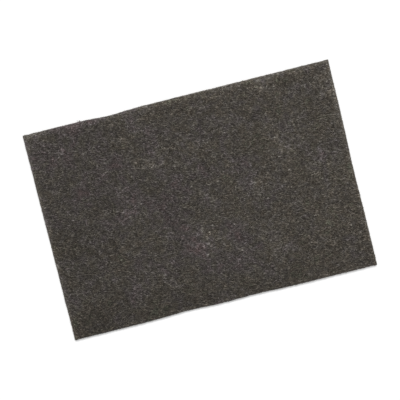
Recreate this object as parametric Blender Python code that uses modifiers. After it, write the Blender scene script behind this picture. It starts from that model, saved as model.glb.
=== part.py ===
"""Non-woven abrasive pad: one flat sheet of bonded fibre web, cut out with a blade die.

The pad is a single piece. Its crimped fibres and the gritty resin that glues them are one
lofty felt, with no core, backing or layers, so it is one solid here.

Frame: the origin is the middle of the resting face, +X runs along the length, +Y across the
width to the rear edge and +Z up through the thickness. All lengths are in metres.

Run with: blender --background --python part.py
"""

import math

import bmesh
import bpy
from mathutils import Vector, noise

# Driving dimensions of the sheet
PAD_LENGTH = 0.2275  # along the rear edge, the longer of the two
PAD_WIDTH = 0.1524  # from the front edge to the rear edge
PAD_THICKNESS = 0.0064  # from the resting face to the highest tufts

# How far the cut strays from square: each front corner lies this far inside the rear one
LEFT_TAPER = 0.0011
RIGHT_TAPER = 0.0015

# What the blade does to the web beside the cut
RIM_RADIUS = 0.0010  # the rims and corners are soft, not sharp
WALL_BULGE = 0.0003  # the cut wall springs out between its two rims
EDGE_PINCH = 0.0007  # the web stays this much thinner at the cut
PINCH_REACH = 0.0080  # and is full again this far inside it

# The loft of the web: tufts with shallow hollows between them
TUFT_SPACING = 0.0140
TUFT_HEIGHT = 0.0007

# A dip is a shallow run where an edge lies inside its straight line. Its place is measured
# along the edge from the pad's middle, and one spread away from there it has mostly faded.
REAR_DIP_PLACE = -0.0500
REAR_DIP_DEPTH = 0.0011
REAR_DIP_SPREAD = 0.0130
FRONT_LEFT_DIP_PLACE = -0.0280
FRONT_LEFT_DIP_DEPTH = 0.0010
FRONT_LEFT_DIP_SPREAD = 0.0190
FRONT_RIGHT_DIP_PLACE = 0.0240
FRONT_RIGHT_DIP_DEPTH = 0.0007
FRONT_RIGHT_DIP_SPREAD = 0.0200
RIGHT_DIP_PLACE = -0.0060
RIGHT_DIP_DEPTH = 0.0005
RIGHT_DIP_SPREAD = 0.0230

# The modelling grid
CELL_SIZE = 0.0050  # side of one cell of the top face
WALL_SEGMENTS = 2  # rows of cells up the wall
RIM_SEGMENTS = 3  # flats that make a rim round
RIM_ANGLE = math.radians(60)  # edges that turn more than this are rims or corners

# The web's colour in the light, linear RGB, and its dull, gritty surface
WEB_COLOUR = (0.068, 0.061, 0.054, 1.0)
WEB_ROUGHNESS = 0.85

HALF_LENGTH = PAD_LENGTH / 2 - WALL_BULGE
HALF_WIDTH = PAD_WIDTH / 2 - WALL_BULGE


def clear_scene():
    """Remove whatever the file opened with."""
    for thing in list(bpy.data.objects):
        bpy.data.objects.remove(thing, do_unlink=True)


def make_web_material():
    """Dark grey nylon fibre under a dull coat of resin and fine grit."""
    material = bpy.data.materials.new("abrasive_web")
    material.use_nodes = True
    shader = material.node_tree.nodes["Principled BSDF"]
    shader.inputs["Base Color"].default_value = WEB_COLOUR
    shader.inputs["Roughness"].default_value = WEB_ROUGHNESS
    shader.inputs["Metallic"].default_value = 0.0
    return material


def smooth_step(share):
    """Ease from 0 to 1 as share goes from 0 to 1, level at both ends."""
    share = min(max(share, 0.0), 1.0)
    return share * share * (3 - 2 * share)


def dip_at(along, place, depth, spread):
    """How far inside its straight line an edge with one dip lies, at a point along it."""
    return depth * math.exp(-(((along - place) / spread) ** 2))


def follow_cut(x, y):
    """Move a point of the square block to where the real, slightly wandering cut puts it.

    Each edge draws in the points beside it, and its pull fades to nothing at the middle.
    """
    taper_share = (1 - y / HALF_WIDTH) / 2
    left_pull = LEFT_TAPER * taper_share
    right_pull = RIGHT_TAPER * taper_share
    right_pull += dip_at(y, RIGHT_DIP_PLACE, RIGHT_DIP_DEPTH, RIGHT_DIP_SPREAD)
    rear_pull = dip_at(x, REAR_DIP_PLACE, REAR_DIP_DEPTH, REAR_DIP_SPREAD)
    front_pull = dip_at(x, FRONT_LEFT_DIP_PLACE, FRONT_LEFT_DIP_DEPTH, FRONT_LEFT_DIP_SPREAD)
    front_pull += dip_at(x, FRONT_RIGHT_DIP_PLACE, FRONT_RIGHT_DIP_DEPTH, FRONT_RIGHT_DIP_SPREAD)
    return (
        x + left_pull * max(-x / HALF_LENGTH, 0) - right_pull * max(x / HALF_LENGTH, 0),
        y + front_pull * max(-y / HALF_WIDTH, 0) - rear_pull * max(y / HALF_WIDTH, 0),
    )


def top_height(x, y):
    """Height of the lofty top face: tufts and hollows, thinner beside the cut."""
    tuft = (1 + noise.noise(Vector((x, y, 0)) / TUFT_SPACING)) / 2
    from_cut = min(HALF_LENGTH - abs(x), HALF_WIDTH - abs(y))
    pinched = 1 - smooth_step(from_cut / PINCH_REACH)
    return PAD_THICKNESS - TUFT_HEIGHT * (1 - tuft) - EDGE_PINCH * pinched


def edges_along(block, axis):
    """The edges of a square-cornered block that run along one axis."""
    return [
        edge
        for edge in block.edges
        if abs((edge.verts[1].co - edge.verts[0].co).normalized()[axis]) > 0.9
    ]


def make_celled_block():
    """A box of the pad's size, resting on z = 0, with its faces divided into cells."""
    block = bmesh.new()
    bmesh.ops.create_cube(block, size=1.0)
    size = Vector((2 * HALF_LENGTH, 2 * HALF_WIDTH, PAD_THICKNESS))
    bmesh.ops.scale(block, vec=size, verts=block.verts)
    bmesh.ops.translate(block, vec=(0, 0, PAD_THICKNESS / 2), verts=block.verts)
    cells = (
        max(2, round(PAD_LENGTH / CELL_SIZE)),
        max(2, round(PAD_WIDTH / CELL_SIZE)),
        WALL_SEGMENTS,
    )
    for axis, count in enumerate(cells):
        bmesh.ops.subdivide_edges(
            block, edges=edges_along(block, axis), cuts=count - 1, use_grid_fill=True
        )
    return block


def shape_web(block):
    """Give the block its wandering outline, sprung walls and lofty top."""
    for vert in block.verts:
        x, y, z = vert.co
        up_wall = z / PAD_THICKNESS
        bulge = WALL_BULGE * math.sin(math.pi * up_wall)
        cut_x, cut_y = follow_cut(x, y)
        vert.co.x = cut_x * (1 + bulge / HALF_LENGTH)
        vert.co.y = cut_y * (1 + bulge / HALF_WIDTH)
        vert.co.z = up_wall * top_height(x, y)


def make_pad(collection, material):
    """The whole pad, one closed solid."""
    block = make_celled_block()
    shape_web(block)
    mesh = bpy.data.meshes.new("pad")
    block.to_mesh(mesh)
    block.free()
    mesh.materials.append(material)
    mesh.shade_smooth()
    pad = bpy.data.objects.new("pad", mesh)
    collection.objects.link(pad)
    rims = pad.modifiers.new("soft_rims", "BEVEL")
    rims.limit_method = "ANGLE"
    rims.angle_limit = RIM_ANGLE
    rims.width = RIM_RADIUS
    rims.segments = RIM_SEGMENTS
    return pad


def main():
    clear_scene()
    collection = bpy.data.collections.new("Non-woven abrasive pad")
    bpy.context.scene.collection.children.link(collection)
    make_pad(collection, make_web_material())


main()
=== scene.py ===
# %% [markdown]
# # A non-woven abrasive pad
#
# The real pad is a lofty sheet of crimped nylon fibres. They are laid down as a thick web,
# glued where they cross by a dark resin that carries the grit, and cut to size with a blade
# die. It has one piece and no joint, so the whole lesson is about one thing: how a surface
# that is made of thousands of fine fibres can be built, coloured and lit.
#
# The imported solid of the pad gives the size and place. Everything here is in metres.

import math

import bmesh
import bpy
import numpy as np
from mathutils import Matrix, Vector, noise
from mathutils.bvhtree import BVHTree
from mathutils.geometry import intersect_point_line


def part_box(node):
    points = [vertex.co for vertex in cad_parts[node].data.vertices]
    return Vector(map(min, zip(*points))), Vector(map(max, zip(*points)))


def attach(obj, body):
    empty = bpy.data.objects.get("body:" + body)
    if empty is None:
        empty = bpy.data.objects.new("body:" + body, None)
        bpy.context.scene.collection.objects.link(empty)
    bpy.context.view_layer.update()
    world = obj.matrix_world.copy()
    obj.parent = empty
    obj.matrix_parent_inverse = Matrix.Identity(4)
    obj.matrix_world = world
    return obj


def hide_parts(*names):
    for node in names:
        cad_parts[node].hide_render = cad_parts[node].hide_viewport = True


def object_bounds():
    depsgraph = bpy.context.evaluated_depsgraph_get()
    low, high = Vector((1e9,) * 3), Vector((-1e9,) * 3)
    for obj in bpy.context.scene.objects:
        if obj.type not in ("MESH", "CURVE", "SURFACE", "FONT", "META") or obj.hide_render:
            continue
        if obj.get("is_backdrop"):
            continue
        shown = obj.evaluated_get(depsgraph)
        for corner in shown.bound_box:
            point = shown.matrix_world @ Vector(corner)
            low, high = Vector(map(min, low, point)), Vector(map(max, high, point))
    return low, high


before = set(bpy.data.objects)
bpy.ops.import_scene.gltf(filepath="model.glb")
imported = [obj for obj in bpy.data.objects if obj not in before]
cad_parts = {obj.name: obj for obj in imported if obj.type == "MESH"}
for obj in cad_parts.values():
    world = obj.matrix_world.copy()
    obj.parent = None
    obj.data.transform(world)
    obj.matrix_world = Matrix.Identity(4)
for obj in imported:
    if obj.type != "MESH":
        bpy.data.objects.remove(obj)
CAD_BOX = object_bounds()
PAD_LOW, PAD_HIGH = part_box("pad")
PAD_SIZE = PAD_HIGH - PAD_LOW
PAD_CENTRE = (PAD_LOW + PAD_HIGH) / 2
MM = 0.001
print("pad, mm:", [round(side / MM, 2) for side in PAD_SIZE])

# %% [markdown]
# ## The view
#
# The photograph looks straight down on the pad, with no side of it in sight. A long lens far
# above gives that flat look. The pad lies turned in the picture, so the camera is rolled the
# other way, and the pad itself stays square to its own axes. One pixel of the picture is a
# known length on the pad's top face, which fixes the camera's height.

# %% The camera
PHOTO_SIDE = 400  # pixels
PIXEL_ON_PAD = 0.7226 * MM
PAD_TURN = math.radians(14.05)
PAD_CENTRE_PIXEL = (200.85, 200.0)
LENS = 200.0  # millimetres, as Blender counts a lens
SENSOR = 36.0  # millimetres across
CAMERA_REACH = 20.0  # metres, so that the far floor stays in sight


def put_in_scene(name, data):
    """A new object that holds this camera, lamp, mesh or curve, in the scene."""
    holder = bpy.data.objects.new(name, data)
    bpy.context.scene.collection.objects.link(holder)
    return holder


def aim_camera():
    """A long lens straight above the pad, rolled so that the pad lies as in the picture."""
    lens = bpy.data.cameras.new("long_lens")
    lens.lens = LENS
    lens.sensor_width = SENSOR
    lens.clip_end = CAMERA_REACH
    camera = put_in_scene("camera", lens)
    to_right = Vector((math.cos(PAD_TURN), -math.sin(PAD_TURN), 0))
    to_top = Vector((math.sin(PAD_TURN), math.cos(PAD_TURN), 0))
    pixels_right = PHOTO_SIDE / 2 - PAD_CENTRE_PIXEL[0]
    pixels_up = PAD_CENTRE_PIXEL[1] - PHOTO_SIDE / 2
    camera.location = PAD_CENTRE + PIXEL_ON_PAD * (pixels_right * to_right + pixels_up * to_top)
    camera.location.z = PAD_HIGH.z + PHOTO_SIDE * PIXEL_ON_PAD * LENS / SENSOR
    camera.rotation_euler = (0, 0, -PAD_TURN)
    bpy.context.scene.camera = camera
    return camera


camera = aim_camera()
bpy.context.scene.view_settings.view_transform = "Standard"
print("camera height, m:", round(camera.location.z, 3))

# %% [markdown]
# ## Floor and light
#
# The pad lies on plain white under soft light from nearly overhead. The lamp stands a little
# towards the pad's rear edge, so that the only shadow is a thin strip along the front edge.
# It is a sun lamp, which lights the floor evenly however far the view reaches.
# A diffuse floor alone would render light grey. A small glow that only the camera sees lifts
# it to white, and the shadow still darkens the rest.

# %% Shader helpers
def new_material(name):
    """An empty node material, with its tree and output."""
    material = bpy.data.materials.new(name)
    material.use_nodes = True
    tree = material.node_tree
    tree.nodes.clear()
    output = tree.nodes.new("ShaderNodeOutputMaterial")
    return material, tree, output


def joined(tree, operation, first, second):
    """A Math node of two values, each a socket or a number."""
    node = tree.nodes.new("ShaderNodeMath")
    node.operation = operation
    for socket, value in zip(node.inputs, (first, second)):
        if isinstance(value, float):
            socket.default_value = value
        else:
            tree.links.new(value, socket)
    return node.outputs[0]


def scaled(tree, value, low, high):
    """A number from 0 to 1 stretched to run from low to high."""
    stretch = tree.nodes.new("ShaderNodeMapRange")
    stretch.inputs["To Min"].default_value = low
    stretch.inputs["To Max"].default_value = high
    tree.links.new(value, stretch.inputs["Value"])
    return stretch.outputs["Result"]


def seen_directly(tree):
    """1 for rays from the camera, off gloss or through glass, and 0 for rays that carry light."""
    path = tree.nodes.new("ShaderNodeLightPath")
    is_glossy = path.outputs["Is Glossy Ray"]
    sharp = joined(tree, "MAXIMUM", is_glossy, path.outputs["Is Transmission Ray"])
    return joined(tree, "MAXIMUM", path.outputs["Is Camera Ray"], sharp)


# %% The floor
FLOOR_SIDE = 12.0
FLOOR_DROP = 0.05 * MM
FLOOR_COLOUR = (0.84, 0.84, 0.84, 1)
FLOOR_GLOW = 0.34


def make_floor_material():
    material, tree, output = new_material("white_floor")
    matt = tree.nodes.new("ShaderNodeBsdfDiffuse")
    matt.inputs["Color"].default_value = FLOOR_COLOUR
    glow = tree.nodes.new("ShaderNodeEmission")
    strength = joined(tree, "MULTIPLY", seen_directly(tree), FLOOR_GLOW)
    tree.links.new(strength, glow.inputs["Strength"])
    both = tree.nodes.new("ShaderNodeAddShader")
    tree.links.new(matt.outputs[0], both.inputs[0])
    tree.links.new(glow.outputs[0], both.inputs[1])
    tree.links.new(both.outputs[0], output.inputs["Surface"])
    return material


def make_floor():
    mesh = bpy.data.meshes.new("floor")
    sheet = bmesh.new()
    bmesh.ops.create_grid(sheet, x_segments=1, y_segments=1, size=FLOOR_SIDE / 2)
    bmesh.ops.translate(sheet, vec=(0, 0, PAD_LOW.z - FLOOR_DROP), verts=sheet.verts)
    sheet.to_mesh(mesh)
    sheet.free()
    mesh.materials.append(make_floor_material())
    floor = put_in_scene("floor", mesh)
    floor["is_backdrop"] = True


make_floor()
print("floor at z, mm:", round((PAD_LOW.z - FLOOR_DROP) / MM, 3))

# %% The lamp and the sky
SKY_FILL = 0.336  # the light of the white sky, where 1 is what the camera sees of it
LAMP_TOWARDS = Vector((0.10, 0.33, 1.0))  # right, rear and up, seen from the pad
LAMP_SPREAD = math.radians(15)  # how wide the lamp looks from the pad
LAMP_STRENGTH = 1.83


def hang_lamp():
    """A soft lamp so far away that it lights the pad and the floor evenly."""
    light = bpy.data.lights.new("far_lamp", "SUN")
    light.energy = LAMP_STRENGTH
    light.angle = LAMP_SPREAD
    lamp = put_in_scene("far_lamp", light)
    lamp.location = PAD_CENTRE + LAMP_TOWARDS
    lamp.rotation_euler = LAMP_TOWARDS.to_track_quat("Z", "Y").to_euler()


def make_sky():
    """A white surround that fills the shadows softly and looks fully white to the camera."""
    world = bpy.data.worlds.new("white_room")
    world.use_nodes = True
    tree = world.node_tree
    tree.nodes.clear()
    output = tree.nodes.new("ShaderNodeOutputWorld")
    light = tree.nodes.new("ShaderNodeBackground")
    light.inputs["Color"].default_value = (1, 1, 1, 1)
    strength = scaled(tree, seen_directly(tree), SKY_FILL, 1.0)
    tree.links.new(strength, light.inputs["Strength"])
    tree.links.new(light.outputs[0], output.inputs["Surface"])
    bpy.context.scene.world = world


hang_lamp()
make_sky()
print("lamp leans, degrees:", round(math.degrees(LAMP_TOWARDS.angle(Vector((0, 0, 1)))), 1))

# %% [markdown]
# ## The colour of coated fibre
#
# Each fibre is pale nylon under a dark grey coat of resin and grit. Where the coat is thick
# the fibre is nearly black, and where it is thin or has worn off the nylon shows. Across the
# sheet the resin also took unevenly: some patches are browner, some greyer. So every point
# of the web has two numbers, how bare the fibre is and which patch it lies in, and one
# node group turns the two into a colour. The fibres and the web under them share it.

# %% The shared colour group
COAT_STOPS = (  # how bare the fibre is, and its linear colour there
    (0.00, (0.006, 0.005, 0.004, 1)),
    (0.30, (0.026, 0.022, 0.018, 1)),
    (0.60, (0.092, 0.080, 0.067, 1)),
    (0.80, (0.170, 0.152, 0.132, 1)),
    (1.00, (0.420, 0.395, 0.360, 1)),
)
PATCH_STOPS = (  # which patch, and what the colour is multiplied by there
    (0.00, (0.84, 0.98, 0.82, 1)),  # olive
    (0.28, (1.03, 0.97, 0.89, 1)),  # brown
    (0.50, (0.99, 1.00, 0.97, 1)),
    (0.72, (1.03, 1.00, 1.13, 1)),  # violet grey
    (1.00, (1.22, 0.99, 1.10, 1)),  # reddish
)


def fill_ramp(ramp, stops):
    """Give a colour ramp its stops, from a list of place and colour."""
    elements = ramp.color_ramp.elements
    while len(elements) < len(stops):
        elements.new(0.5)
    for element, (place, colour) in zip(elements, stops):
        element.position = place
        element.color = colour


def make_coat_group():
    group = bpy.data.node_groups.new("coated_fibre_colour", "ShaderNodeTree")
    for name in ("Bareness", "Patch"):
        group.interface.new_socket(name, in_out="INPUT", socket_type="NodeSocketFloat")
    group.interface.new_socket("Color", in_out="OUTPUT", socket_type="NodeSocketColor")
    inside = group.nodes.new("NodeGroupInput")
    outside = group.nodes.new("NodeGroupOutput")
    coat = group.nodes.new("ShaderNodeValToRGB")
    patch = group.nodes.new("ShaderNodeValToRGB")
    fill_ramp(coat, COAT_STOPS)
    fill_ramp(patch, PATCH_STOPS)
    blend = group.nodes.new("ShaderNodeMix")
    blend.data_type = "RGBA"
    blend.blend_type = "MULTIPLY"
    blend.inputs["Factor"].default_value = 1.0
    colour_a, colour_b = [socket for socket in blend.inputs if socket.type == "RGBA"]
    blended = [socket for socket in blend.outputs if socket.type == "RGBA"][0]
    group.links.new(inside.outputs["Bareness"], coat.inputs["Fac"])
    group.links.new(inside.outputs["Patch"], patch.inputs["Fac"])
    group.links.new(coat.outputs["Color"], colour_a)
    group.links.new(patch.outputs["Color"], colour_b)
    group.links.new(blended, outside.inputs["Color"])
    return group


coat_group = make_coat_group()


def coated_shader(tree, output, bareness, patch, specular):
    """A material's shader, coloured by how bare each point is and which patch it lies in."""
    colour = tree.nodes.new("ShaderNodeGroup")
    colour.node_tree = coat_group
    shader = tree.nodes.new("ShaderNodeBsdfPrincipled")
    shader.inputs["Specular IOR Level"].default_value = specular
    tree.links.new(bareness, colour.inputs["Bareness"])
    tree.links.new(patch, colour.inputs["Patch"])
    tree.links.new(colour.outputs["Color"], shader.inputs["Base Color"])
    tree.links.new(shader.outputs[0], output.inputs["Surface"])
    return shader


print("colour group:", coat_group.name, "with", len(coat_group.nodes), "nodes")

# %% [markdown]
# ## Where the web is browner or worn, and where light and shade are painted
#
# The pad isn't one even grey. Its hue drifts from olive and brown to a violet grey, and here
# and there a cluster of spots is worn nearly to the bare nylon. Light and shade are painted in
# too: the rims are painted pale as a painted highlight, the front darker as painted shade, and
# the web paler towards the rear and the right, as the light falls. A painted picture could
# hold all that, but thousands of separate fibres would each have to find their place on it.
# So each effect is a short function of a point of the web, and the fibres and the deeper web
# ask the same functions. The web also has a faint grain, so its tufts are longer along the
# grain than across it.

# %% The patches of the web
PATCH_MIDDLE = 0.42
PATCH_LOW, PATCH_HIGH = 0.02, 0.98
PATCH_SPACING = 17 * MM  # broad areas of one hue
PATCH_SWING = 0.30
CLUMP_SPACING = 4.5 * MM  # clumps of fibre inside them
CLUMP_SWING = 0.34
GREY_START = Vector((-0.095, 0.060, 0.006))  # a greyer band runs from the rear left corner
GREY_END = Vector((0.000, -0.030, 0.006))  # to the middle
GREY_REACH = 45 * MM
GREY_SHIFT = 0.19
FRONT_REACH = 30 * MM
FRONT_SHIFT = -0.10  # the web is browner along the front


def grey_at(point):
    """1 along the sheet's greyer band, easing to 0 beside it."""
    share = intersect_point_line(point, GREY_START, GREY_END)[1]
    nearest = GREY_START.lerp(GREY_END, min(max(share, 0), 1))
    return math.exp(-(((point - nearest).length / GREY_REACH) ** 2))


def eased(inside, reach):
    """1 at an edge, easing to 0 where a point is so far inside it."""
    share = min(max(inside / reach, 0), 1)
    return 1 - share * share * (3 - 2 * share)


def patch_at(point):
    """Which patch a point lies in: from 0, olive, through brown and grey to 1, reddish."""
    patch = PATCH_MIDDLE + PATCH_SWING * noise.noise(point / PATCH_SPACING)
    patch += CLUMP_SWING * noise.noise(point / CLUMP_SPACING)
    patch += GREY_SHIFT * grey_at(point)
    patch += FRONT_SHIFT * eased(point.y - PAD_LOW.y, FRONT_REACH)
    return min(max(patch, PATCH_LOW), PATCH_HIGH)


print("patch at the middle:", round(patch_at(PAD_CENTRE), 3))

# %% Tufts along the grain
GRAIN_TURN = math.radians(-13)  # the grain lies a little askew to the cut edges
TUFT_LENGTH = 1.6  # how much longer a tuft is along the grain than across it
TUFT_SPACING = 3.2 * MM  # between one small tuft of the web and the next
TUFT_FALLOFF = 0.8  # the higher, the smoother a tuft
TUFT_OCTAVES = 3
OCTAVE_STEP = 2.0

to_grain = Matrix.Diagonal((1 / TUFT_LENGTH, 1, 1)) @ Matrix.Rotation(-GRAIN_TURN, 3, "Z")


def tuft_at(point):
    """How far the web swells or sinks at a point, from about -1 to 1."""
    place = to_grain @ point / TUFT_SPACING
    return noise.fractal(place, TUFT_FALLOFF, OCTAVE_STEP, TUFT_OCTAVES)


print("tuft at the middle:", round(tuft_at(PAD_CENTRE), 3))

# %% Painted highlight on the rims, painted shade along the front, and darker strips
RIM_REACH = 5.4 * MM
RIM_HIGHLIGHT_SWING = 0.18  # painted highlight: the left, right and rear rims are painted pale, as the light falls on them
FRONT_RIM_LIGHT_SWING = 0.06  # painted light: the front rim a little paler, against the shade of its bevel
PALE_CORNER = Vector((PAD_LOW.x, PAD_HIGH.y))  # the rear left corner is paler too
CORNER_REACH = 26 * MM
CORNER_SWING = 0.060
FRONT_SHADE_SWING = -0.050  # painted shade: the web is darker along the front, as the light comes from the rear
LEFT_SWING = -0.032  # the web is also darker in a band a little inside the left edge, but not at the rear
BAND_PLACE = 20 * MM
BAND_REACH = 11 * MM


def rim_at(point):
    """What nearness to the cut edges adds to the bareness: a painted highlight on the rims,
    painted shade along the front, a paler rear left corner and a darker band by the left edge.
    """
    left = point.x - PAD_LOW.x
    front = point.y - PAD_LOW.y
    rear = PAD_HIGH.y - point.y
    # painted highlight on the rims, and painted light that lifts the front rim
    rim_light_and_corner = RIM_HIGHLIGHT_SWING * eased(min(left, PAD_HIGH.x - point.x, rear), RIM_REACH)
    rim_light_and_corner += FRONT_RIM_LIGHT_SWING * eased(front, RIM_REACH)
    band = math.exp(-(((left - BAND_PLACE) / BAND_REACH) ** 2)) * (1 - eased(rear, FRONT_REACH))
    rim_light_and_corner += CORNER_SWING * eased((point.xy - PALE_CORNER).length, CORNER_REACH)
    # painted shade along the front, and a darker band inside the left edge
    return rim_light_and_corner + FRONT_SHADE_SWING * eased(front, FRONT_REACH) + LEFT_SWING * band


print("rims at the highest corner:", round(rim_at(PAD_HIGH), 3))

# %% Where worn spots gather
CLUSTER_SPACING = 13 * MM
CLUSTER_SWING = 0.4
CLUSTER_SHIFT = Vector((7, 3, 5))  # a shift gives each noise a stretch of its own
WORN_PLACE_SWING = 0.60
WORN_PLACES = (  # the largest clusters: along, across and how far around, in mm
    (-91, 56, 9),  # by the rear left corner
    (-21, 36, 7),  # left of the middle, towards the rear
    (-4, -31, 12),  # before the middle
    (47, -43, 9),  # to the right of that
    (72, 23, 9),  # right of the middle, towards the rear
    (96, 4, 8),  # by the right edge
    (63, 70, 6),  # by the rear edge
)


def cluster_at(point):
    """Above 0 where worn spots and bare specks gather, below 0 where there are few."""
    cluster = CLUSTER_SWING * noise.noise(point / CLUSTER_SPACING + CLUSTER_SHIFT)
    for x, y, reach in WORN_PLACES:
        away = math.dist(point.xy / MM, (x, y)) / reach
        cluster += WORN_PLACE_SWING * math.exp(-away * away)
    return cluster


print("cluster at the middle:", round(cluster_at(PAD_CENTRE), 3))

# %% How worn the web is, and where light is painted
SPOT_SPACING = 1.7 * MM
SPOT_SHIFT = Vector((1, 8, 2))
SPOT_LEVEL = 0.10  # the noise above which a spot is worn pale
SPOT_SWING = 1.15
CLOUD_SPACING = 11 * MM  # between one faint light or dark cloud and the next
CLOUD_SHIFT = Vector((9, 2, 6))
CLOUD_SWING = 0.018
BROAD_SPACING = 26 * MM
BROAD_SHIFT = Vector((4, 4, 4))
BROAD_SWING = 0.010
TUFT_SWING = 0.010
CLUSTER_PALENESS = 0.035
PAINTED_LIGHT_WAY = Vector((0.033, 0.012, 0))  # painted light: paler towards the right and the rear, as the light falls; what the bareness gains from the middle to each side


def wear_and_painted_light_at(point):
    """What a point adds to its fibres' bareness: tufts are paler, spots in clusters palest, and
    painted light on the rims and across the sheet is added.
    """
    cluster = cluster_at(point)
    spot = noise.noise(point / SPOT_SPACING + SPOT_SHIFT) - SPOT_LEVEL
    pale = max(spot, 0) * max(cluster, 0) / (1 - SPOT_LEVEL)
    broad = noise.noise(point / BROAD_SPACING + BROAD_SHIFT)
    cloud = noise.noise(point / CLOUD_SPACING + CLOUD_SHIFT)
    # painted light: paler towards the right and rear, darker towards the left and front
    painted_light_slant = PAINTED_LIGHT_WAY.x * point.x / PAD_HIGH.x + PAINTED_LIGHT_WAY.y * point.y / PAD_HIGH.y
    wear_and_painted_light = TUFT_SWING * tuft_at(point) + SPOT_SWING * pale
    wear_and_painted_light += BROAD_SWING * broad + CLOUD_SWING * cloud + CLUSTER_PALENESS * cluster
    return wear_and_painted_light + painted_light_slant + rim_at(point)


# what wear and painted light add at the middle
print("wear at the middle:", round(wear_and_painted_light_at(PAD_CENTRE), 3))

# %% [markdown]
# ## The web under the fibres
#
# Between the uppermost fibres the eye meets the next layers of the web. Modelling every one
# of them would take tens of millions of faces, so a closed body stands for all of them. It
# starts as a block of small cells, is shrink-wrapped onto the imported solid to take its
# outline, loft and soft rims, and is then drawn in a little, unevenly, so that real fibres
# can lie on it within the solid's own size.

# %% A block of small cells, wrapped onto the solid
CORE_CELL = 1.3 * MM
CORE_WALL_CELLS = 5
SAME_WAY = 0.9  # an edge runs along an axis if this share of it does


def edges_along(block, axis):
    """The edges of a square block that run along one axis."""
    along = []
    for edge in block.edges:
        run = edge.verts[1].co - edge.verts[0].co
        if abs(run.normalized()[axis]) > SAME_WAY:
            along.append(edge)
    return along


def make_cell_block():
    """A mesh of a box of the pad's size, with its faces divided into cells."""
    block = bmesh.new()
    bmesh.ops.create_cube(block, size=1.0)
    bmesh.ops.scale(block, vec=PAD_SIZE, verts=block.verts)
    bmesh.ops.translate(block, vec=PAD_CENTRE, verts=block.verts)
    cells = (round(PAD_SIZE.x / CORE_CELL), round(PAD_SIZE.y / CORE_CELL), CORE_WALL_CELLS)
    for axis, count in enumerate(cells):
        edges = edges_along(block, axis)
        bmesh.ops.subdivide_edges(block, edges=edges, cuts=count - 1, use_grid_fill=True)
    mesh = bpy.data.meshes.new("cell_block")
    block.to_mesh(mesh)
    block.free()
    return mesh


def turned_to_mesh(holder):
    """The mesh that an object's modifiers or bevel make. The object itself is removed."""
    evaluated = holder.evaluated_get(bpy.context.evaluated_depsgraph_get())
    mesh = bpy.data.meshes.new_from_object(evaluated)
    bpy.data.objects.remove(holder)
    return mesh


def wrapped_on(mesh, solid):
    """The mesh drawn onto the nearest points of the solid."""
    loose = put_in_scene("loose_block", mesh)
    wrap = loose.modifiers.new("wrap", "SHRINKWRAP")
    wrap.target = solid
    wrap.wrap_method = "NEAREST_SURFACEPOINT"
    return turned_to_mesh(loose)


core_mesh = wrapped_on(make_cell_block(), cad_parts["pad"])
print("core cells:", len(core_mesh.polygons))

# %% Draw the web in, unevenly
CORE_INSET = 0.26 * MM  # on the top and the back
WALL_INSET = -0.08 * MM  # on the cut walls
CORNER_FILL = 0.60 * MM  # the web keeps the cut's sharp corners, which the solid rounds
CORE_RELIEF = 0.14 * MM
SMOOTHING = 0.5  # how far a point of the faces goes to the middle of those around it
SMOOTHING_ROUNDS = 3  # enough to lose the solid's flats
LEVEL_ENOUGH = 0.97  # how far up or down the normals of the faces point
GROUND_GAP = 0.24 * MM  # the body stays this far above the resting plane


def draw_in(mesh):
    """Move each point in by its inset and relief, and note its patch, and its wear and painted
    light, there.
    """
    body = bmesh.new()
    body.from_mesh(mesh)
    bmesh.ops.recalc_face_normals(body, faces=body.faces)
    body.normal_update()
    level = [vert for vert in body.verts if abs(vert.normal.z) > LEVEL_ENOUGH]
    for _ in range(SMOOTHING_ROUNDS):
        bmesh.ops.smooth_vert(
            body, verts=level, factor=SMOOTHING, use_axis_x=True, use_axis_y=True, use_axis_z=True
        )
    body.normal_update()
    patch = body.verts.layers.float.new("patch")
    wear_and_painted_light = body.verts.layers.float.new("wear_and_painted_light")
    moves = []
    for vert in body.verts:
        inset = WALL_INSET + (CORE_INSET - WALL_INSET) * abs(vert.normal.z)
        inset -= CORNER_FILL * 2 * abs(vert.normal.x * vert.normal.y)
        moves.append(vert.normal * (CORE_RELIEF * tuft_at(vert.co) - inset))
    for vert, move in zip(body.verts, moves):
        vert.co += move
        vert.co.z = max(vert.co.z, PAD_LOW.z + GROUND_GAP)
        vert[patch] = patch_at(vert.co)
        # wear, and painted light from the rims and the slant
        vert[wear_and_painted_light] = wear_and_painted_light_at(vert.co)
    body.to_mesh(mesh)
    tree = BVHTree.FromBMesh(body)
    body.free()
    return tree


core_surface = draw_in(core_mesh)
core_heights = [vertex.co.z / MM for vertex in core_mesh.vertices]
print("core heights, mm:", [round(min(core_heights), 2), round(max(core_heights), 2)])

# %% Lay the body's faces out on one picture
TOP_SPAN = 0.80  # the share of the picture's side that the pad's length takes
BACK_SPAN = 0.42
LAYOUT_EDGE = 0.01
LAYOUT_MARGIN = 1 * MM  # round each side of the pad, as long as on the pad itself
LAYOUT_GAP = 3 * MM  # from one side's start to the next, beyond the side's own length
FLAT_ENOUGH = 0.6  # how far up or down a face of the top or the back points


def flat_place(point, across, up, corner, span):
    """A point's place on the picture, seen along one axis."""
    scale = span / PAD_SIZE.x
    return (
        corner[0] + (point[across] - PAD_LOW[across] + LAYOUT_MARGIN) * scale,
        corner[1] + (point[up] - PAD_LOW[up] + LAYOUT_MARGIN) * scale,
    )


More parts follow.
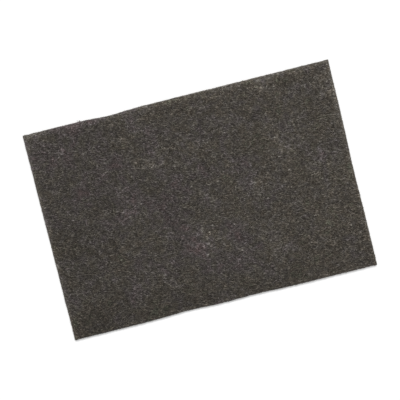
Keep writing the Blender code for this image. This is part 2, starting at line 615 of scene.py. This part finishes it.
def lay_out_core(mesh):
    """Top, back and four walls, side by side, each seen square on."""
    layout = mesh.uv_layers.new(name="OFBake")
    strip = TOP_SPAN * (PAD_SIZE.z + LAYOUT_GAP) / PAD_SIZE.x
    above_top = LAYOUT_EDGE + TOP_SPAN * (PAD_SIZE.y + LAYOUT_GAP) / PAD_SIZE.x
    corners = {"top": (LAYOUT_EDGE, LAYOUT_EDGE)}
    for row, wall in enumerate(("front", "rear", "left", "right")):
        corners[wall] = (LAYOUT_EDGE, above_top + row * strip)
    corners["back"] = (LAYOUT_EDGE, above_top + 4 * strip)
    for face in mesh.polygons:
        normal = face.normal
        if normal.z > FLAT_ENOUGH:
            side, across, up, span = "top", 0, 1, TOP_SPAN
        elif normal.z < -FLAT_ENOUGH:
            side, across, up, span = "back", 0, 1, BACK_SPAN
        elif abs(normal.y) > abs(normal.x):
            side, across, up, span = "front" if normal.y < 0 else "rear", 0, 2, TOP_SPAN
        else:
            side, across, up, span = "left" if normal.x < 0 else "right", 1, 2, TOP_SPAN
        for loop in face.loop_indices:
            point = mesh.vertices[mesh.loops[loop].vertex_index].co
            layout.uv[loop].vector = flat_place(point, across, up, corners[side], span)


lay_out_core(core_mesh)
print("layout reaches:", round(max(uv.vector.y for uv in core_mesh.uv_layers["OFBake"].uv), 3))

# %% [markdown]
# ## How the deeper web looks
#
# The deeper fibres show as a tangle of thin lines with dark gaps between them; the dark of
# the gaps is painted shade, as deep in a real web. A Voronoi pattern's cell borders are such
# lines, once a noise has bent them, and a second noise hides them here and there, as fibres
# dive out of sight. Four layers of it at different sizes and turns, the lighter over the
# darker, read as fibres that cross at different depths: the deeper layers are painted darker,
# as painted shade. Small cells then make some lengths of fibre paler than others, and smaller
# ones are the grit. The same lines, as height, give the bump. The whole pattern is stretched
# along the grain and pressed flat, so that the cut walls show layers.

# %% The tangle of lines as a node group
LINE_CORE = 0.50  # the share of a line's width that has its full lightness
BREAK_SPACING = 0.7  # cells between one break in the lines and the next
BREAK_ENDS = (0.36, 0.52)  # of a noise: below the first a line is hidden, above the last whole


def bent_place(group, given):
    """The place, pushed about by a noise, which bends every line drawn there."""
    wave = group.nodes.new("ShaderNodeTexNoise")
    wave.inputs["Detail"].default_value = 1.0
    centred = group.nodes.new("ShaderNodeVectorMath")
    centred.operation = "SUBTRACT"
    centred.inputs[1].default_value = (0.5, 0.5, 0.5)
    push = group.nodes.new("ShaderNodeVectorMath")
    push.operation = "SCALE"
    moved = group.nodes.new("ShaderNodeVectorMath")
    moved.operation = "ADD"
    group.links.new(given["Vector"], wave.inputs["Vector"])
    group.links.new(given["Lines per Unit"], wave.inputs["Scale"])
    group.links.new(wave.outputs["Color"], centred.inputs[0])
    group.links.new(centred.outputs[0], push.inputs[0])
    group.links.new(given["Bend"], push.inputs["Scale"])
    group.links.new(given["Vector"], moved.inputs[0])
    group.links.new(push.outputs[0], moved.inputs[1])
    return moved.outputs[0]


def cell_borders(group, given, place):
    """1 on the borders of a Voronoi pattern's cells, easing to 0 beside them."""
    cells = group.nodes.new("ShaderNodeTexVoronoi")
    cells.feature = "DISTANCE_TO_EDGE"
    line = group.nodes.new("ShaderNodeMapRange")
    line.interpolation_type = "SMOOTHSTEP"
    line.inputs["To Min"].default_value = 1.0
    line.inputs["To Max"].default_value = 0.0
    core = joined(group, "MULTIPLY", given["Line Width"], LINE_CORE)
    group.links.new(place, cells.inputs["Vector"])
    group.links.new(given["Lines per Unit"], cells.inputs["Scale"])
    group.links.new(cells.outputs["Distance"], line.inputs["Value"])
    group.links.new(core, line.inputs["From Min"])
    group.links.new(given["Line Width"], line.inputs["From Max"])
    return line.outputs["Result"]


def stretches_that_show(group, given, place):
    """1 where the lines show, and 0 where they are out of sight."""
    breaks = group.nodes.new("ShaderNodeTexNoise")
    breaks.inputs["Detail"].default_value = 0.0
    showing = group.nodes.new("ShaderNodeMapRange")
    showing.inputs["From Min"].default_value = BREAK_ENDS[0]
    showing.inputs["From Max"].default_value = BREAK_ENDS[1]
    breaks_per_unit = joined(group, "DIVIDE", given["Lines per Unit"], BREAK_SPACING)
    group.links.new(breaks_per_unit, breaks.inputs["Scale"])
    group.links.new(place, breaks.inputs["Vector"])
    group.links.new(breaks.outputs[0], showing.inputs["Value"])
    return showing.outputs["Result"]


def make_tangle_group():
    group = bpy.data.node_groups.new("tangled_fibres", "ShaderNodeTree")
    group.interface.new_socket("Vector", in_out="INPUT", socket_type="NodeSocketVector")
    for name in ("Lines per Unit", "Bend", "Line Width"):
        group.interface.new_socket(name, in_out="INPUT", socket_type="NodeSocketFloat")
    group.interface.new_socket("Lines", in_out="OUTPUT", socket_type="NodeSocketFloat")
    given = group.nodes.new("NodeGroupInput").outputs
    result = group.nodes.new("NodeGroupOutput").inputs
    place = bent_place(group, given)
    borders = cell_borders(group, given, place)
    broken = joined(group, "MULTIPLY", borders, stretches_that_show(group, given, place))
    group.links.new(broken, result["Lines"])
    return group


tangle_group = make_tangle_group()
print("tangle group:", len(tangle_group.nodes), "nodes")

# %% One layer of the tangle, and other patterns
TANGLE_LAYERS = (  # cell size, bend, line width in cells, lightness (lower for deeper layers, as painted shade), turn in degrees
    (1.8 * MM, 1.4 * MM, 0.050, 1.00, 12),
    (1.3 * MM, 1.0 * MM, 0.070, 0.90, 75),
    (1.0 * MM, 0.8 * MM, 0.090, 0.80, 140),
    (0.7 * MM, 0.6 * MM, 0.115, 0.65, 200),
)
SHIFT_TURN = 90  # degrees: how much turn shifts a layer by 1


def add_tangle(tree, start, layer):
    """One layer of lines, as a number from 0 in the gaps to its lightness on the lines; deeper
    layers get less, as painted shade.
    """
    cell, bend, width, depth_lightness, turn = layer
    shift = (depth_lightness, turn / SHIFT_TURN, 0)  # each layer has a stretch of its own
    place = tree.nodes.new("ShaderNodeMapping")
    place.inputs["Location"].default_value = shift
    place.inputs["Rotation"].default_value = (0, 0, math.radians(turn))
    tree.links.new(start, place.inputs["Vector"])
    lines = tree.nodes.new("ShaderNodeGroup")
    lines.node_tree = tangle_group
    lines.inputs["Lines per Unit"].default_value = 1 / cell
    lines.inputs["Bend"].default_value = bend
    lines.inputs["Line Width"].default_value = width
    tree.links.new(place.outputs[0], lines.inputs["Vector"])
    return joined(tree, "MULTIPLY", lines.outputs["Lines"], depth_lightness)


def cell_values(tree, start, size, swing):
    """A number for each small cell of the web, from minus half the swing to half of it."""
    cells = tree.nodes.new("ShaderNodeTexVoronoi")
    cells.inputs["Scale"].default_value = 1 / size
    tree.links.new(start, cells.inputs["Vector"])
    apart = tree.nodes.new("ShaderNodeSeparateColor")
    tree.links.new(cells.outputs["Color"], apart.inputs[0])
    return scaled(tree, apart.outputs[0], -swing / 2, swing / 2)


def attribute(tree, name):
    """A number that the mesh holds for each of its points."""
    node = tree.nodes.new("ShaderNodeAttribute")
    node.attribute_name = name
    return node.outputs["Fac"]


print("tangle layers:", len(TANGLE_LAYERS))

# %% The deeper web's material
GRAIN_LENGTH = 2.8  # how much longer the pattern is along the grain than across it
LAYER_HEIGHT = 0.6  # and how flat it is
# painted shade: the gaps between the lines are painted near black, as deep in the web
GAP_SHADE_BARENESS = 0.23
LINE_BARENESS = 0.63
STRAND_SIZE = 0.50 * MM  # a length of fibre that is as bare all over
STRAND_SWING = 0.60
GRIT_SIZE = 0.15 * MM
GRIT_SWING = 0.16
GAP_ROUGHNESS = 0.95
LINE_ROUGHNESS = 0.60
BUMP_DEPTH = 0.14 * MM
CORE_SPECULAR = 0.30


def grain_place(tree):
    """The place on the pad, turned and scaled so that patterns lie long and flat in the web."""
    place = tree.nodes.new("ShaderNodeTexCoord")
    stretch = tree.nodes.new("ShaderNodeMapping")
    stretch.vector_type = "TEXTURE"
    stretch.inputs["Rotation"].default_value = (0, 0, GRAIN_TURN)
    stretch.inputs["Scale"].default_value = (GRAIN_LENGTH, 1, LAYER_HEIGHT)
    tree.links.new(place.outputs["Object"], stretch.inputs["Vector"])
    return stretch.outputs[0]


def make_core_material():
    material, tree, output = new_material("deeper_web")
    place = grain_place(tree)
    lines = 0.0
    for layer in TANGLE_LAYERS:
        lines = joined(tree, "MAXIMUM", add_tangle(tree, place, layer), lines)
    # the gaps are painted dark, as painted shade deep in the web
    bareness = scaled(tree, lines, GAP_SHADE_BARENESS, LINE_BARENESS)
    # wear, and painted light: painted rim highlight, painted front shade and the slant
    bareness = joined(tree, "ADD", bareness, attribute(tree, "wear_and_painted_light"))
    strands = cell_values(tree, place, STRAND_SIZE, STRAND_SWING)
    bareness = joined(tree, "ADD", bareness, joined(tree, "MULTIPLY", strands, lines))
    grains = cell_values(tree, place, GRIT_SIZE, GRIT_SWING)
    bareness = joined(tree, "ADD", bareness, grains)
    shader = coated_shader(tree, output, bareness, attribute(tree, "patch"), CORE_SPECULAR)
    roughness = scaled(tree, lines, GAP_ROUGHNESS, LINE_ROUGHNESS)
    bump = tree.nodes.new("ShaderNodeBump")
    bump.inputs["Distance"].default_value = BUMP_DEPTH
    tree.links.new(roughness, shader.inputs["Roughness"])
    tree.links.new(lines, bump.inputs["Height"])
    tree.links.new(bump.outputs[0], shader.inputs["Normal"])
    return material


core_material = make_core_material()
print("the deeper web's material:", len(core_material.node_tree.nodes), "nodes")

core_mesh.materials.clear()
core_mesh.materials.append(core_material)
core_mesh.shade_smooth()
web_core = put_in_scene("web_core", core_mesh)
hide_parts("pad")
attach(web_core, "root")
core_mesh.calc_loop_triangles()
print("web_core triangles:", len(core_mesh.loop_triangles))

# %% [markdown]
# ## A fibre
#
# A staple fibre of such a web is a few centimetres long, at most a tenth of a millimetre
# thick and crimped, so it wanders in small bends. The fibres here are thicker, so that
# fewer of them cover the web. A curve with a three-sided profile makes one: its points
# come from a walk whose turn changes a little at each step, and which is drawn back to its
# first direction, as a crimped fibre is. It costs six triangles a step. More fibres start
# along the grain than across it. The fibres of one batch are splines of one curve, which
# becomes one mesh. The draws come from a seeded generator, so each run gives the same web.

# %% Walks, flat
STEP = 1.05 * MM
CRIMP = 0.34  # radians by which the turn changes at a step
CRIMP_KEEP = 0.55  # how much of the last turn a fibre keeps
HOLD = 0.42  # how much of its straying from its first direction it takes back
GRAIN_STRENGTH = 1.8  # at 0 the fibres run every way, and above it more along the grain
DRAWS = 4  # directions drawn for each fibre, because most across the grain are dropped


def random_headings(rng, count):
    """Directions of fibres, with more of them along the grain than across it."""
    headings = rng.uniform(0, 2 * math.pi, DRAWS * count)
    along = np.cos(headings - GRAIN_TURN) ** 2
    kept = rng.uniform(0, 1, DRAWS * count) < along**GRAIN_STRENGTH
    return headings[kept][:count]


def walk(rng, starts, headings, steps):
    """The crimped path of each fibre, seen flat: fibres by steps by two."""
    turn = np.zeros(len(starts))
    way = headings.copy()
    points = [starts]
    for _ in range(steps - 1):
        turn = CRIMP_KEEP * turn + rng.normal(0, CRIMP, len(starts))
        way = way + turn + HOLD * (headings - way)
        points.append(points[-1] + STEP * np.stack((np.cos(way), np.sin(way)), 1))
    return np.stack(points, 1)


trial = walk(np.random.default_rng(0), np.zeros((200, 2)), np.zeros(200), 30)
reach = np.linalg.norm(trial[:, -1], axis=1).mean()
print("a 30 mm fibre reaches, mm:", round(reach / MM, 1))

# %% From walks to a mesh
FIBRE_RADIUS = 0.078 * MM
PROFILE_SIDES = 3


def make_profile():
    """The fibre's cross-section, run clockwise so that the swept faces point outwards."""
    curve = bpy.data.curves.new("fibre_profile", "CURVE")
    ring = curve.splines.new("POLY")
    ring.points.add(PROFILE_SIDES - 1)
    ring.use_cyclic_u = True
    for index, point in enumerate(ring.points):
        angle = -2 * math.pi * index / PROFILE_SIDES
        point.co = (FIBRE_RADIUS * math.cos(angle), FIBRE_RADIUS * math.sin(angle), 0, 1)
    return bpy.data.objects.new("fibre_profile", curve)


fibre_profile = make_profile()


def sweep(name, paths, widths):
    """One mesh of closed tubes, one for each path. Widths multiply the fibre's radius."""
    curve = bpy.data.curves.new(name, "CURVE")
    curve.dimensions = "3D"
    curve.bevel_mode = "OBJECT"
    curve.bevel_object = fibre_profile
    curve.use_fill_caps = True
    for path, width in zip(paths, widths):
        spline = curve.splines.new("POLY")
        spline.points.add(len(path) - 1)
        with_weight = np.ones((len(path), 4), np.float32)
        with_weight[:, :3] = path
        spline.points.foreach_set("co", with_weight.ravel())
        spline.points.foreach_set("radius", np.asarray(width, np.float32))
    return turned_to_mesh(put_in_scene(name, curve))


print("triangles in a step of fibre:", 2 * PROFILE_SIDES)

# %% Give each point its place on the colour chart, and close the tubes
CHART_NUDGE = 0.004  # gives each face of a fibre a little width on the colour chart
WELD_DISTANCE = 0.0001 * MM


def per_vertex(values):
    """One number per path point, spread to the swept mesh's vertices.

    The mesh lists the caps first, last fibre first and its end before its start, and then
    the rings of every fibre in order.
    """
    caps = [np.repeat([row[-1], row[0]], PROFILE_SIDES) for row in reversed(values)]
    rings = np.repeat(np.concatenate(values), PROFILE_SIDES)
    return np.concatenate(caps + [rings])


def keep_chart(mesh, bareness, patches):
    """Write each vertex's place on the colour chart as two numbers of its own."""
    zigzag = [row + CHART_NUDGE * (np.arange(len(row)) % 2) for row in patches]
    across = per_vertex(bareness)
    up = per_vertex(zigzag)
    corner = np.arange(len(across)) % PROFILE_SIDES
    places = {
        "chart_across": across + CHART_NUDGE * (corner - 1),
        "chart_up": up + CHART_NUDGE * (corner == 1),
    }
    for name, values in places.items():
        layer = mesh.attributes.new(name, "FLOAT", "POINT")
        layer.data.foreach_set("value", values.astype(np.float32))


def close_caps(mesh):
    """Weld the caps to the tubes, so that each fibre is one closed body."""
    body = bmesh.new()
    body.from_mesh(mesh)
    bmesh.ops.remove_doubles(body, verts=body.verts, dist=WELD_DISTANCE)
    open_edges = sum(not edge.is_manifold for edge in body.edges)
    volume = body.calc_volume(signed=True)
    body.to_mesh(mesh)
    body.free()
    return open_edges, volume


def chart_to_layout(mesh):
    """Turn the two numbers of each vertex into the piece's own UV map."""
    while mesh.uv_layers:
        mesh.uv_layers.remove(mesh.uv_layers[0])
    places = []
    for name in ("chart_across", "chart_up"):
        values = np.empty(len(mesh.vertices), np.float32)
        mesh.attributes[name].data.foreach_get("value", values)
        places.append(values)
        mesh.attributes.remove(mesh.attributes[name])
    corners = np.empty(len(mesh.loops), np.int32)
    mesh.loops.foreach_get("vertex_index", corners)
    layout = mesh.uv_layers.new(name="OFBake")
    layout.uv.foreach_set("vector", np.stack(places, 1)[corners].ravel())


print("chart nudge, pixels of a 1024 chart:", round(CHART_NUDGE * 1024, 1))

# %% [markdown]
# ## The fibre's material
#
# A fibre is too thin to carry a picture of its own, so its UV map isn't a picture of the
# fibre at all. It is a place on a colour chart, with bareness across and patch up, and the
# material only reads that place. However many thousand fibres share the chart, each of
# their points finds its own colour on it. Along a fibre the bareness changes from point to
# point, with a bright speck here and there, and a drop of resin makes it thicker.

# %% Coated fibre
FIBRE_ROUGHNESS = 0.55
FIBRE_SPECULAR = 0.35


def make_fibre_material():
    material, tree, output = new_material("coated_fibre")
    place = tree.nodes.new("ShaderNodeUVMap")
    place.uv_map = "OFBake"
    apart = tree.nodes.new("ShaderNodeSeparateXYZ")
    tree.links.new(place.outputs["UV"], apart.inputs[0])
    bareness, patch = apart.outputs["X"], apart.outputs["Y"]
    shader = coated_shader(tree, output, bareness, patch, FIBRE_SPECULAR)
    shader.inputs["Roughness"].default_value = FIBRE_ROUGHNESS
    return material


fibre_material = make_fibre_material()
print("fibre material:", len(fibre_material.node_tree.nodes), "nodes")

# %% How thick a fibre is along its length
WIDTH_SPREAD = 0.16
THINNEST = 0.65
NODULE_CHANCE = 0.05  # a drop of resin thickens the fibre here
NODULE_WIDTH = 1.9


def fibre_widths(rng, count):
    """What the fibre's radius is multiplied by at each of its points."""
    widths = max(THINNEST, rng.normal(1, WIDTH_SPREAD)) * np.ones(count)
    drops = rng.uniform(0, 1, count) < NODULE_CHANCE
    widths[drops] *= NODULE_WIDTH
    return widths


print("widths of a trial fibre:", fibre_widths(np.random.default_rng(0), 6).round(2))

# %% How bare a fibre is, and what its patch is
COMMON_BARENESS = 0.562
FIBRE_SPREAD = 0.085  # between one fibre and the next
STEP_SPREAD = 0.235  # along one fibre
HUE_SPREAD = 0.16
SPECK_BARENESS = 0.97
SPECK_CHANCE = 0.011
SPECK_GATHERING = 5.0  # how strongly specks keep to the clusters of worn spots
CHART_LOW, CHART_HIGH = 0.03, 0.97


def bareness_along(rng, path):
    """Bareness at each point of a fibre: its own level, changes along it, wear and painted light,
    and specks.
    """
    level = COMMON_BARENESS + rng.normal(0, FIBRE_SPREAD)
    bareness = level + rng.normal(0, STEP_SPREAD, len(path))
    # wear, and painted light: pale rims, a darker front and a slant paler to the rear and right
    bareness += [wear_and_painted_light_at(Vector(point)) for point in path]
    gathering = np.array([1 + SPECK_GATHERING * cluster_at(Vector(point)) for point in path])
    bareness[rng.uniform(0, 1, len(path)) < SPECK_CHANCE * gathering] = SPECK_BARENESS
    return np.clip(bareness, CHART_LOW, CHART_HIGH)


def patches_along(rng, path):
    """A fibre's own hue on top of the patch that it lies in."""
    patches = np.array([patch_at(Vector(point)) for point in path])
    return np.clip(patches + rng.normal(0, HUE_SPREAD), CHART_LOW, CHART_HIGH)


trial_path = [PAD_CENTRE + Vector((step * STEP, 0, 0)) for step in range(6)]
print("bareness of a trial fibre:", bareness_along(np.random.default_rng(0), trial_path).round(2))


# %% A layer of fibres as a piece of the pad
def add_fibres(name, paths, rng):
    """Sweep the paths into a piece of the pad and report what it holds."""
    widths = [fibre_widths(rng, len(path)) for path in paths]
    for path, width in zip(paths, widths):
        path[:, 2] = np.maximum(path[:, 2], PAD_LOW.z + FIBRE_RADIUS * width)
    bareness = [bareness_along(rng, path) for path in paths]
    patches = [patches_along(rng, path) for path in paths]
    mesh = sweep(name, paths, widths)
    keep_chart(mesh, bareness, patches)
    open_edges, volume = close_caps(mesh)
    chart_to_layout(mesh)
    mesh.materials.clear()
    mesh.materials.append(fibre_material)
    mesh.shade_smooth()
    fibres = put_in_scene(name, mesh)
    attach(fibres, "root")
    mesh.calc_loop_triangles()
    print(name, "fibres:", len(paths), "triangles:", len(mesh.loop_triangles))
    print("  open edges:", open_edges, "volume, mm3:", round(volume / MM**3, 1))


# %% [markdown]
# ## Fibres on the top face
#
# Each fibre is dropped onto the deeper web: a ray from above finds the height under each of
# its points. It rides there at its own level, weaves up and down as it crosses others, and
# dives into the web at both ends. Where its walk leaves the sheet, it was cut off by the
# blade. The fibres are made in a few batches, each a piece of its own, because one mesh of
# them all would be too heavy.

# %% Strew fibres over a face
SHORTEST_RUN = 5  # points
RAY_START = 20 * MM
RIM_DROP = 2.4 * MM  # a ray that hits this far from the face has missed it
START_MARGIN = 0.25  # of its length, by which a fibre may start outside the sheet
TOP, UNDERSIDE = 1, -1


def face_height(x, y, side):
    """Height of the deeper web at one place of its top or underside, or None beside it."""
    hit = core_surface.ray_cast(Vector((x, y, side * RAY_START)), Vector((0, 0, -side)))[0]
    face = PAD_HIGH.z if side == TOP else PAD_LOW.z
    if hit is None or abs(hit.z - face) > RIM_DROP:
        return None
    return hit.z


def longest_run(heights):
    """First and last index, plus one, of the longest run with no None in it."""
    best, start = (0, 0), None
    for index, height in enumerate([*heights, None]):
        if height is not None and start is None:
            start = index
        if height is None and start is not None:
            best = max(best, (start, index), key=lambda run: run[1] - run[0])
            start = None
    return best


def strew(rng, count, steps, side, lift):
    """Paths of fibres over one side of the sheet, raised from the deeper web by their lift."""
    middle = np.array(PAD_CENTRE.xy)
    half = np.array(PAD_SIZE.xy) / 2
    starts = middle + rng.uniform(-1, 1, (count, 2)) * (half + STEP * steps * START_MARGIN)
    flat = walk(rng, starts, random_headings(rng, count), steps)
    paths = []
    for fibre in flat:
        heights = [face_height(x, y, side) for x, y in fibre]
        first, last = longest_run(heights)
        if last - first < SHORTEST_RUN:
            continue
        raised = np.array(heights[first:last]) + lift(rng, last - first)
        paths.append(np.column_stack((fibre[first:last], raised)))
    return paths


middle_height = face_height(PAD_CENTRE.x, PAD_CENTRE.y, TOP)
print("the deeper web's top at the middle, mm:", round(middle_height / MM, 2))

# %% Drop the fibres on the top
TOP_BATCHES = 4
TOP_FIBRES = 1120  # in one batch
TOP_STEPS = 24
LEVELS = (-0.03 * MM, 0.28 * MM)
WEAVE = 0.15 * MM
WEAVE_LENGTH = 6.0 * MM
DIVE = 0.30 * MM


def weave(rng, count):
    """The ups and downs of a fibre over its crossings, and its dive at both ends."""
    along = np.arange(count) * STEP
    wave = WEAVE * np.sin(2 * math.pi * (along / WEAVE_LENGTH + rng.uniform()))
    level = rng.uniform(*LEVELS)
    wave[[0, -1]] -= DIVE
    return wave + level


for batch in range(TOP_BATCHES):
    rng = np.random.default_rng(100 + batch)
    add_fibres(f"top_fibres_{batch + 1}", strew(rng, TOP_FIBRES, TOP_STEPS, TOP, weave), rng)

# %% [markdown]
# ## Fibres on the underside
#
# The back of the sheet is the same web, but the pad lies on it, so its fibres are pressed
# nearly level. They are strewn as on the top, with rays from below, and each of them is kept
# its own radius above the resting plane.

# %% Lay the fibres on the underside
UNDER_BATCHES = 2
UNDER_FIBRES = 1080  # in one batch
UNDER_STEPS = 22
UNDER_LEVELS = (0.06 * MM, 0.24 * MM)
UNDER_WEAVE = 0.05 * MM


def pressed(rng, count):
    """The lift of a fibre on the underside, which is below 0, so that it lies under the web."""
    return -(rng.uniform(*UNDER_LEVELS) + rng.normal(0, UNDER_WEAVE, count))


for batch in range(UNDER_BATCHES):
    rng = np.random.default_rng(200 + batch)
    paths = strew(rng, UNDER_FIBRES, UNDER_STEPS, UNDERSIDE, pressed)
    add_fibres(f"underside_fibres_{batch + 1}", paths, rng)

# %% [markdown]
# ## The cut edge
#
# The blade cut straight down through layer on layer of fibres. So the walls show two things:
# lengths of fibre that run along the wall, mostly level as the layers are, and the cut ends
# of those that ran across it. For the first kind a fibre walks along the outline and up
# the wall, and rays from outside find the wall under each of its points. The cut ends are
# short, apart from one small tuft of longer ones that stands out of the rear edge.

# %% A walk round the outline
CORNER_ROUND = 2.5 * MM
OUTLINE_LENGTH = 2 * (PAD_SIZE.x + PAD_SIZE.y) - (8 - 2 * math.pi) * CORNER_ROUND
OUTSIDE = 12 * MM  # where the rays start
WALL_STRAY = 3 * MM  # how far from the outline the wall may be found


def outline_at(along):
    """A point on the pad's rounded rectangle, so far along it, and the way out from there."""
    straight_x = PAD_SIZE.x - 2 * CORNER_ROUND
    straight_y = PAD_SIZE.y - 2 * CORNER_ROUND
    corner = math.pi / 2 * CORNER_ROUND
    for turns, straight in enumerate((straight_x, straight_y, straight_x, straight_y)):
        out = Vector((math.sin(turns * math.pi / 2), -math.cos(turns * math.pi / 2)))
        ahead = Vector((-out.y, out.x))
        half_out = (PAD_SIZE.y if turns % 2 == 0 else PAD_SIZE.x) / 2
        start = PAD_CENTRE.xy + out * half_out - ahead * straight / 2
        if along < straight:
            return start + ahead * along, out
        along -= straight
        if along < corner:
            angle = along / CORNER_ROUND
            centre = start + ahead * straight - out * CORNER_ROUND
            out = out * math.cos(angle) + ahead * math.sin(angle)
            return centre + out * CORNER_ROUND, out
        along -= corner
    return outline_at(along)


def wall_at(along, height):
    """The point of the deeper web's wall at one place of the outline, and the way out."""
    point, out = outline_at(along % OUTLINE_LENGTH)
    start = Vector((*(point + out * OUTSIDE), height))
    hit = core_surface.ray_cast(start, Vector((-out.x, -out.y, 0)))[0]
    if hit is None or (hit.xy - point).length > WALL_STRAY:
        return None
    return hit, Vector((*out, 0))


print("outline, mm:", round(OUTLINE_LENGTH / MM, 1))

# %% Fibres along the cut edge
EDGE_FIBRES = 2400
EDGE_STEPS = 13
EDGE_SLOPE = 0.28  # radians, how far from level a fibre on the wall runs
EDGE_LEVELS = (-0.02 * MM, 0.16 * MM)
EDGE_SHORTEST = 4  # points
WALL_FLOOR = 0.16 * MM
WALL_TOP_DROP = 0.35 * MM


def run_along_edge(rng, count):
    starts = np.column_stack((
        rng.uniform(0, OUTLINE_LENGTH, count),
        rng.uniform(PAD_LOW.z, PAD_HIGH.z, count),
    ))
    flat = walk(rng, starts, rng.normal(0, EDGE_SLOPE, count), EDGE_STEPS)
    highest = PAD_HIGH.z - WALL_TOP_DROP
    paths = []
    for fibre in flat:
        places = []
        for along, height in fibre:
            inside = PAD_LOW.z + WALL_FLOOR < height < highest
            places.append(wall_at(along, height) if inside else None)
        first, last = longest_run(places)
        if last - first < EDGE_SHORTEST:
            continue
        level = rng.uniform(*EDGE_LEVELS)
        kept = [hit + out * level for hit, out in places[first:last]]
        kept[0] -= places[first][1] * DIVE
        kept[-1] -= places[last - 1][1] * DIVE
        paths.append(np.array(kept))
    return paths


rng = np.random.default_rng(300)
add_fibres("edge_fibres", run_along_edge(rng, EDGE_FIBRES), rng)

# %% Cut ends
CUT_ENDS = 4200
END_LENGTH = (0.40 * MM, 1.00 * MM)
END_DEPTH = 0.35 * MM  # how deep in the wall an end starts
END_LEAN = 0.5  # how far it leans along the wall for each step out, and half that up or down
END_BEND = 0.06 * MM
LOOSE_ENDS = 18  # in the small tuft on the rear edge
LOOSE_LENGTH = (1.30 * MM, 2.10 * MM)
LOOSE_PLACE = -71.5 * MM  # where along the pad the tuft is
LOOSE_SPREAD = 0.60 * MM
LOOSE_ALONG = OUTLINE_LENGTH / 2 + PAD_SIZE.x / 2 - CORNER_ROUND - LOOSE_PLACE


def cut_end(rng, along, length):
    """One end of fibre that stands out of the wall, or None where there is no wall."""
    height = rng.uniform(PAD_LOW.z + 2 * WALL_FLOOR, PAD_HIGH.z - WALL_TOP_DROP)
    place = wall_at(along, height)
    if place is None:
        return None
    hit, out = place
    aside = Vector((-out.y, out.x, 0))
    way = out + aside * rng.normal(0, END_LEAN) + Vector((0, 0, rng.normal(0, END_LEAN / 2)))
    root = hit - out * END_DEPTH
    tip = root + way * rng.uniform(*length)
    bend = (root + tip) / 2 + aside * rng.normal(0, END_BEND)
    return np.array([root, bend, tip])


def stand_cut_ends(rng):
    paths = []
    for _ in range(CUT_ENDS):
        paths.append(cut_end(rng, rng.uniform(0, OUTLINE_LENGTH), END_LENGTH))
    for _ in range(LOOSE_ENDS):
        paths.append(cut_end(rng, rng.normal(LOOSE_ALONG, LOOSE_SPREAD), LOOSE_LENGTH))
    return [path for path in paths if path is not None]


rng = np.random.default_rng(400)
add_fibres("cut_ends", stand_cut_ends(rng), rng)

# %% [markdown]
# ## Size and finish
#
# The fibres stand a little proud of the imported solid, as lint does, so the script prints
# how far the visual box reaches past the solid's box.

# %% How far the fibres stand proud
VISUAL_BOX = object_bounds()
grown = [VISUAL_BOX[1][axis] - CAD_BOX[1][axis] for axis in range(3)]
print("stands proud, mm:", [round(side / MM, 2) for side in grown])
